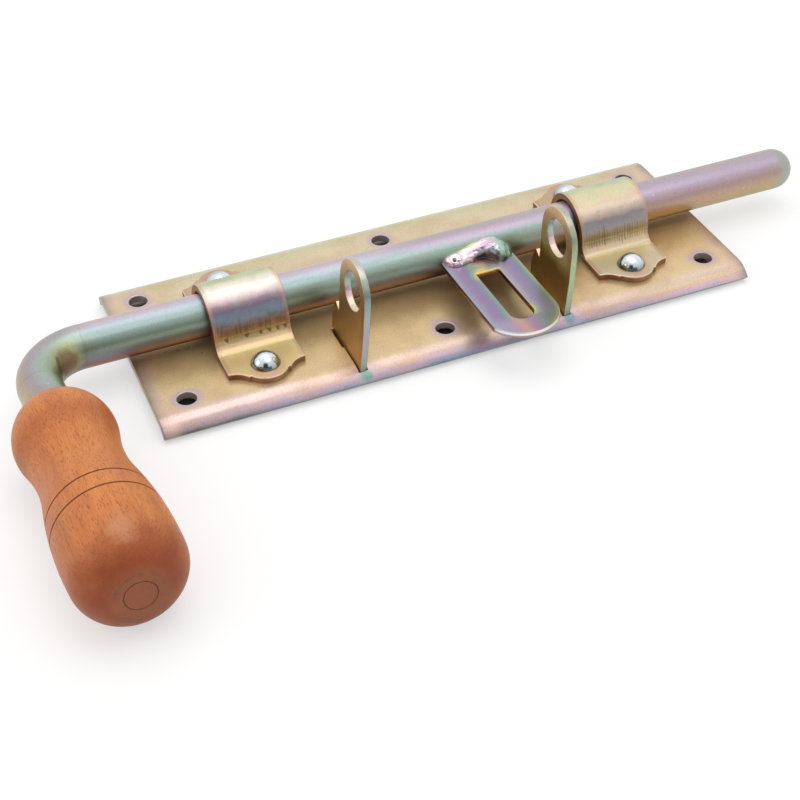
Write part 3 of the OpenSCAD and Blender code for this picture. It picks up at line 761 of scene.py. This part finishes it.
def strip_distance(centre, start, end, half_width):
    """How far outside a round-ended strip a place is. The strip lies along the hasp from start to end."""
    over = reach - put("Clamp", reach, start, end)
    return distance(vector(x - centre, over, 0)) - half_width


outline = -strip_distance(16.75, -20, 47.7, 14.3)
slot_x = 16.9
slot = strip_distance(slot_x, 22.5, 48.55, 4.55)
print("edge distances are ready")

# %% Stripes of the hasp
arm_stripes = [
    (3.4, (0.64, 0.69, 0.75)), (4.6, (0.63, 0.63, 0.70)), (6.4, (0.62, 0.54, 0.67)),
    (8.4, (0.60, 0.52, 0.65)), (10, (0.56, 0.56, 0.66)), (11.6, (0.56, 0.65, 0.59)),
    (13, (0.62, 0.66, 0.54)), (21, (0.70, 0.69, 0.70)), (22.5, (0.70, 0.64, 0.70)),
    (24.2, (0.62, 0.57, 0.68)), (26.2, (0.60, 0.54, 0.66)), (28, (0.56, 0.54, 0.65)),
    (30, (0.51, 0.61, 0.62)), (31.2, (0.56, 0.64, 0.54))]
end_stripes = [
    (3.4, (0.63, 0.68, 0.73)), (8, (0.66, 0.62, 0.72)), (10, (0.69, 0.60, 0.70)), (12, (0.75, 0.61, 0.65)),
    (14.2, (0.78, 0.63, 0.57)), (16, (0.72, 0.57, 0.62)), (17.8, (0.67, 0.54, 0.64)),
    (20, (0.58, 0.57, 0.63)), (22.5, (0.54, 0.58, 0.58)), (25, (0.53, 0.58, 0.54)),
    (28, (0.57, 0.62, 0.50)), (31, (0.60, 0.64, 0.44))]
towards_end = rise(sway(reach, 4.0, cloud(place, 8, 2)), 50, 56)
colour = mixed(towards_end, ramp(drift, 3, 32, arm_stripes), ramp(drift, 3, 32, end_stripes))
print("hasp has", len(arm_stripes) + len(end_stripes), "stripe colours")

# %% Tints along the hasp's edges
lower_right = rise(reach, 33, 45) * rise(x, 24, 28.5)
colour = tinted(colour, (0.53, 0.55, 0.51), lower_right * 0.7)
rim_green = rise(outline, 1.9, 0.7) * rise(x, 20, 27)
colour = tinted(colour, (0.66, 0.70, 0.50), rim_green * 0.7)
by_bead = rise(reach, 18.2, 16.6) * rise(x, 13, 16) * rise(x, 26, 23)
colour = tinted(colour, (0.84, 0.68, 0.54), by_bead * 0.7)
print("edges and the strip beside the bead are tinted")

# %% Halo round the slot
halo = ramp(sway(slot - 0.6, 1.2, cloud(place, 4, 2)), 0, 4, [
    (0.2, (0.88, 0.78, 0.48)), (0.9, (0.76, 0.76, 0.48)), (1.8, (0.58, 0.70, 0.58)),
    (3.4, (0.58, 0.62, 0.70))])
at_square_end = distance(place, (12.6, -19.8, bar_axis_z))
at_round_end = distance(place, (21.6, -48.6, bar_axis_z))
corners = most(rise(at_square_end, 6.5, 3.5), rise(at_round_end, 5.5, 3.0) * 0.9)
colour = mixed(corners * rise(slot, 3.6, 1.8), colour, halo)
square_end = rise(reach, 18.6, 19.7) * rise(reach, 22, 21) * rise(abs(x - slot_x), 6.0, 4.4)
colour = tinted(colour, (0.86, 0.80, 0.56), square_end * 0.6)
print("halo is on two of the slot's corners and along its square end")

# %% Walls of the hasp
# the outer wall's colours are painted reflections: dark on the left, where it mirrors the plate, and silver
# round the end, turning pale green on the right, where it mirrors the white floor
# the hasp rises a little away from the bar, so depth is measured from its sloping top
rightward, rearward, upward = normal_of(coat)
cut = rise(abs(upward), 0.93, 0.7)
top_at_bar, slope = 11.1, round(math.tan(math.radians(hasp_tilt)), 4)
below = sway(top_at_bar, slope, reach) - z
facing = ramp(-rearward, -0.2, 1, [
    (0, (0.54, 0.40, 0.33)), (0.3, (0.66, 0.56, 0.50)), (0.6, (0.90, 0.91, 0.90)),
    (0.95, (0.95, 0.96, 0.94))])
pale_green = tinted(facing, (0.84, 0.86, 0.70), rise(x, 13, 27))
painted_reflection = mixed(rise(rightward, -0.3, 0.0), facing, pale_green)
# the wall's lower part is painted pinkish as a reflection of the plate
outer_wall = tinted(painted_reflection, (0.68, 0.56, 0.54), rise(below, 0.9, 1.5))
# the slot's side walls are painted dark brown as shade, and its square end golden above and dark brown below
# as painted shade
square_wall = tinted(seen(0.94, 0.80, 0.48), (0.60, 0.42, 0.20), rise(below, 0.4, 0.9))
slot_wall = mixed(rise(reach, 21.5, 20.6), seen(0.48, 0.34, 0.17), square_wall)
wall = mixed(rise(slot, 0.8, 0.4), outer_wall, slot_wall)
sand = cloud(place, 0.6, 3, 0.7)
end_finish(coat, speckled(mixed(cut, colour, wall), sand, grey(0.90)), 0.30, 1.0, sand, 0.02)
dress(coat, "hasp")

# %% [markdown]
# ## Weld metal
# The bead is smooth and glossy where it froze, so it mirrors more than the sheet, and its coat shifts
# from pinkish white over cream and purple to mint green along its length. Colours by height alone would
# cut across its lumps like waterlines, so they go by the turn that was kept with its vertices. The crater
# and the pit stay dark. The two hidden beads under the plate get a plainer finish.

# %% Weld finish
coat, place, x, y, z = start_finish("passivated bead")
shift = sway(-2.0, 4.0, cloud(place, 2.2, 3))
along = x + shift
attribute = coat.node_tree.nodes.new("ShaderNodeAttribute")
attribute.attribute_name = "turn"
turned = sway(Pattern(attribute.outputs["Fac"]), 0.05, shift)
colour = ramp(along, 3, 34, [
    (5, (0.93, 0.85, 0.89)), (9, (0.95, 0.89, 0.92)), (13, (0.93, 0.82, 0.88)), (18, (0.90, 0.77, 0.83)),
    (22, (0.88, 0.80, 0.84)), (25, (0.72, 0.83, 0.77)), (28.5, (0.64, 0.78, 0.68)),
    (31, (0.50, 0.52, 0.44))])


def zone(start, end, low, high):
    """1 between two places along the bar and two turns of the bead, and softly 0 outside them."""
    across = rise(turned, low - 0.07, low + 0.03) * rise(turned, high + 0.07, high - 0.03)
    return across * rise(along, start - 2, start + 1) * rise(along, end + 2, end - 1)


# cream on top, purple below it, grey towards the right end and a blue line over the crater
zones = (((0.94, 0.88, 0.70), zone(10.5, 18, 0.62, 1.2) * 0.85),
         ((0.88, 0.66, 0.80), zone(14, 24, 0.45, 0.58) * 0.75),
         ((0.74, 0.75, 0.75), zone(23.5, 30, 0.68, 1.2) * 0.7),
         ((0.80, 0.90, 0.96), zone(16, 24, 0.27, 0.36) * 0.8))
for hue, share in zones:
    colour = tinted(colour, hue, share)
print("bead colours lie in", len(zones), "zones")

# %% Crater and pit of the bead
# the distance is 1 at 4.5 mm along the bar from the stain's middle, and at 0.19 of the way round the bead
from_crater = distance(vector((along - crater_x) * 0.22, (turned - 0.09) * 5.4, 0))
from_crater = sway(from_crater - 0.25, 0.5, cloud(place, 1.0, 3))
colour = tinted(colour, (0.27, 0.26, 0.28), rise(from_crater, 1.2, 0.75) * 0.9)
colour = tinted(colour, (0.36, 0.30, 0.22), zone(25.5, 33, -0.1, 0.07) * 0.8)
from_pit = distance(vector(x, y, 0), (pit_x, pit_y, 0))
colour = tinted(colour, (0.42, 0.40, 0.28), rise(from_pit, 0.85, 0.5))
burnt = rise(cloud(place, 1.4, 3), 0.64, 0.76)
colour = tinted(colour, (0.62, 0.55, 0.52), burnt * 0.4)
end_finish(coat, colour, 0.24, 0.9, cloud(place, 1.6, 4, 0.6), 0.3)
dress(coat, "hasp_bead")

# %% Hidden beads
coat, place, x, y, z = start_finish("passivated weld")
colour = ramp(cloud(place, 3, 3), 0, 1, [(0.3, (0.72, 0.60, 0.62)), (0.5, (0.84, 0.76, 0.62)),
                                         (0.7, (0.62, 0.74, 0.66))])
end_finish(coat, colour, 0.28, 0.9, cloud(place, 1.6, 4, 0.6), 0.3)
dress(coat, "left_eye_weld", "right_eye_weld")

# %% [markdown]
# ## Rivets, washer and screw
# These are bright zinc, cold formed, so they shine like chrome gone slightly dull. Even grey metal would
# mirror the studio too cleanly, so soft noise varies its colour, roughness and relief a little.

# %% Bright finish
coat, place, x, y, z = start_finish("bright zinc")
dull = cloud(place, 2.5, 4, 0.6)
colour = ramp(dull, 0, 1, [(0.3, (0.80, 0.82, 0.85)), (0.6, (0.90, 0.91, 0.93))])
end_finish(coat, colour, spread(dull, 0.3, 0.7, 0.12, 0.24), 1.0, dull, 0.03)
dress(coat, "grip_washer", "grip_screw")

# %% [markdown]
# A rivet's dome is painted darker towards its low rim, as shade where it meets the keeper's foot, and
# keeps the bright zinc towards its crown. The height over the plate drives that, because all four heads
# stand at the same height.

# %% Domed heads
coat, place, x, y, z = start_finish("struck zinc")
dull = cloud(place, 2.2, 4, 0.6)
height = sway(z - 0.4, 0.8, dull)
# painted shade towards the dome's low rim
colour = ramp(height, 2, 7, [(2.5, (0.40, 0.42, 0.37)), (3.1, (0.60, 0.62, 0.58)),
                             (4.0, (0.70, 0.75, 0.76)), (5.4, (0.84, 0.88, 0.90)),
                             (6.6, (0.90, 0.93, 0.95))])
# the far side of each dome looks away from the soft box and is greyer
head_row = 26.5
outward = abs(y) - head_row
far_side = sway(between(rise(y, -1, 1), -outward, outward) - 0.8, 1.6, dull)
colour = tinted(colour, (0.55, 0.61, 0.61), rise(far_side, -0.6, 2.2) * 0.8)
end_finish(coat, colour, spread(dull, 0.3, 0.7, 0.10, 0.22), 1.0, dull, 0.03)
dress(coat, "left_front_rivet", "left_rear_rivet", "right_front_rivet", "right_rear_rivet")

# %% [markdown]
# ## Beech
# Beech is orange-brown once steamed and oiled. Its mark is the short dark fleck along the grain, a few
# tenths of a millimetre wide and two to four long. Flecks could be cut as tiny grooves, but they are too
# many and too fine for that, so stretched noise darkens them and dents the surface there. The grain runs
# along the grip, which leans, so the pattern is made in the grip's own directions: how far along its
# axis, and two directions across. Each is a dot product with a unit vector.

# %% The grip's own directions
coat, place, x, y, z = start_finish("oiled beech")
axis = Vector((0.041876, -0.998629, 0.031385)).normalized()
aside = axis.cross(Vector((0, 0, 1))).normalized()
upward = aside.cross(axis)
start = put("VectorMath", place, (elbow_x, 0, bar_axis_z), operation="SUBTRACT")
s, u, v = [put("VectorMath", start, tuple(direction), operation="DOT_PRODUCT", output=1)
           for direction in (axis, aside, upward)]
grain = vector(u, v, s)
print("grip axis", [round(c, 4) for c in axis])

# %% Grain, flecks and a painted highlight
broad = cloud(stretched(grain, 7, 7, 60), 1.0, 3, 0.55)
colour = ramp(broad, 0, 1, [(0.30, (0.76, 0.42, 0.19)), (0.50, (0.82, 0.49, 0.24)),
                            (0.70, (0.86, 0.55, 0.29))])
shade = cloud(grain, 18, 3, 0.6)
reddish = rise(sway(s, 22.0, shade), 117, 143)
colour = tinted(colour, (0.56, 0.22, 0.08), reddish * 0.9)
swell = rise(s, 48, 54) * rise(sway(s, 16.0, shade), 76, 62)
colour = tinted(colour, (0.68, 0.34, 0.16), swell * 0.5)
fleck = rise(cloud(stretched(grain, 0.30, 0.30, 2.6), 1.0, 1, 0.4), 0.60, 0.68)
colour = tinted(colour, (0.52, 0.24, 0.11), fleck * 0.6)
fibres = cloud(stretched(grain, 0.3, 0.3, 14), 1.0, 2)
colour = speckled(colour, fibres, grey(0.88), clear=0.6)
# a paler peach patch on top of the grip, painted as a highlight
from_grip_highlight = distance(stretched(place, 1, 1.5, 1), (-146.2, -77.7, 31.9))
painted_grip_highlight = rise(sway(from_grip_highlight, 4.0, cloud(place, 3, 3)), 8.0, 3.0)
colour = tinted(colour, (0.84, 0.60, 0.44), painted_grip_highlight * 0.45)
print("beech pattern is ready")

# %% Scribed lines and end of the beech finish
grooves, grip_end, smudge_radius, plug_radius = (90, 98), (122, 126), 7.9, 5.25
for groove in grooves:
    colour = tinted(colour, (0.45, 0.20, 0.11), rise(abs(s - groove), 0.55, 0.2) * 0.85)
from_axis = distance(vector(u, v, 0))
end_face = rise(s, *grip_end)
smudge = rise(abs(from_axis - smudge_radius), 0.9, 0.2) * end_face
smudge = smudge * rise(v, -1, 4) * rise(cloud(place, 2.5, 3), 0.38, 0.6)
colour = tinted(colour, (0.30, 0.23, 0.17), smudge * 0.75)
ring = rise(abs(from_axis - plug_radius), 0.4, 0.15)
colour = tinted(colour, (0.32, 0.13, 0.06), ring * end_face * 0.8)
colour = tinted(colour, (0.64, 0.42, 0.30), rise(from_axis, 12, 7) * end_face * 0.4)
end_finish(coat, colour, spread(broad, 0.3, 0.7, 0.40, 0.52), 0.0, fibres * 0.3 - fleck, 0.04, specular=0.4)
dress(coat, "grip", "grip_plug")

# %% [markdown]
# ## Studio
# The floor and the surroundings are white to the camera, and to mirror-like surfaces, while their light
# on the object stays plain. Stronger lamps would whiten the floor too, but would bleach the zinc. A wide
# soft box overhead makes the bright line along the keepers' crowns, and the floor keeps a pale shadow.

# %% White surroundings
def to_the_eye(tree):
    """1 for what the camera sees, straight or in a mirror or glass, and 0 for light that falls on things."""
    rays = tree.nodes.new("ShaderNodeLightPath").outputs
    return most(*[Pattern(rays[name]) for name in ("Is Camera Ray", "Is Glossy Ray", "Is Transmission Ray")])


world = bpy.data.worlds.new("studio")
world.use_nodes = True
bpy.context.scene.world = world
sky = world.node_tree.nodes["Background"].inputs
light_on_things = 0.88
wire(sky["Strength"], spread(to_the_eye(world.node_tree), 0, 1, light_on_things, 1.0))
wire(sky["Color"], (1, 1, 1, 1))
print("world is white, and lights with", light_on_things)


# %% Flat sheets for the studio
def studio_sheet(name, width, depth):
    """A flat sheet that isn't part of the bolt, and its shader's inputs. It lies in the middle of the set."""
    shape = bmesh.new()
    bmesh.ops.create_grid(shape, x_segments=1, y_segments=1, size=0.5)
    bmesh.ops.scale(shape, vec=(width, depth, 1), verts=shape.verts)
    mesh = bpy.data.meshes.new(name)
    shape.to_mesh(mesh)
    shape.free()
    surface = bpy.data.materials.new(name)
    surface.use_nodes = True
    mesh.materials.append(surface)
    sheet = bpy.data.objects.new(name, mesh)
    bpy.context.scene.collection.objects.link(sheet)
    print(name, "is", width, "m wide")
    return sheet, surface.node_tree.nodes["Principled BSDF"].inputs


# %% Floor
floor, paper = studio_sheet("floor", 12, 12)
floor.location.z = cad_box[0][2] - 0.0001
for name, value in (("Roughness", 1.0), ("Specular IOR Level", 0.0), ("Emission Color", (1, 1, 1, 1))):
    wire(paper[name], value)
tree = paper["Base Color"].id_data
metres = Pattern(tree.nodes.new("ShaderNodeTexCoord").outputs["Object"])
floor_x, floor_y, _ = parts(metres)
open_floor = most(rise(abs(floor_x), 0.108, 0.116), rise(abs(floor_y), 0.036, 0.045))
# under the plate the paper is painted dark and doesn't glow, as painted shade that the holes show
wire(paper["Base Color"], spread(open_floor, 0, 1, 0.12, 0.5))
# far from the lamps the paper glows a little more, so that it stays white up to the horizon
glow = sway(0.5, 0.1, rise(distance(metres), 0.6, 2.5))
wire(paper["Emission Strength"], to_the_eye(tree) * open_floor * glow)
print("floor lies at z =", round(floor.location.z * 1000, 2), "mm")


# %% Lamps
def soft_box(name, place, size, power):
    """A rectangular soft box that shines at the middle of the plate."""
    lamp = bpy.data.lights.new(name, "AREA")
    lamp.shape = "RECTANGLE"
    lamp.size, lamp.size_y = size
    lamp.energy = power
    box = bpy.data.objects.new(name, lamp)
    box.location = place
    box.rotation_euler = (-Vector(place)).to_track_quat("-Z", "Y").to_euler()
    bpy.context.scene.collection.objects.link(box)
    print(name, "has", power, "W")


soft_box("overhead box", (0.1, 0.05, 1.1), (1.2, 0.7), 3.2)
soft_box("left box", (-1.2, 0.1, 0.7), (0.6, 0.6), 1.2)

# %% [markdown]
# Metal needs something dark to mirror, or it looks like plastic. Photographers stand a black card in
# front of the set for this. Here it stands behind the camera and is seen by reflections only.

# %% Dark card
def mirrored_only(sheet, surface, shade):
    """Hides a sheet from the camera and the lamps, so that only reflections show its grey."""
    sheet.visible_camera = sheet.visible_diffuse = sheet.visible_shadow = False
    wire(surface["Base Color"], (*grey(shade), 1))


card, card_surface = studio_sheet("dark_card", 2.6, 0.72)
mirrored_only(card, card_surface, 0.25)
card.matrix_world = (Matrix.Rotation(math.radians(-20), 4, "Z") @ Matrix.Translation((0, -1.3, 0.34))
                     @ Matrix.Rotation(math.radians(90), 4, "X"))
print("card stands at", [round(v, 2) for v in card.location])

# %% The camera's own reflection
# a photographer's camera shows as a small dark patch in every polished dome
body, body_surface = studio_sheet("camera_body", 0.44, 0.44)
mirrored_only(body, body_surface, 0.03)
body.location = camera.location * 1.25
body.rotation_euler = camera.rotation_euler
print("camera body stands at", [round(v, 2) for v in body.location])
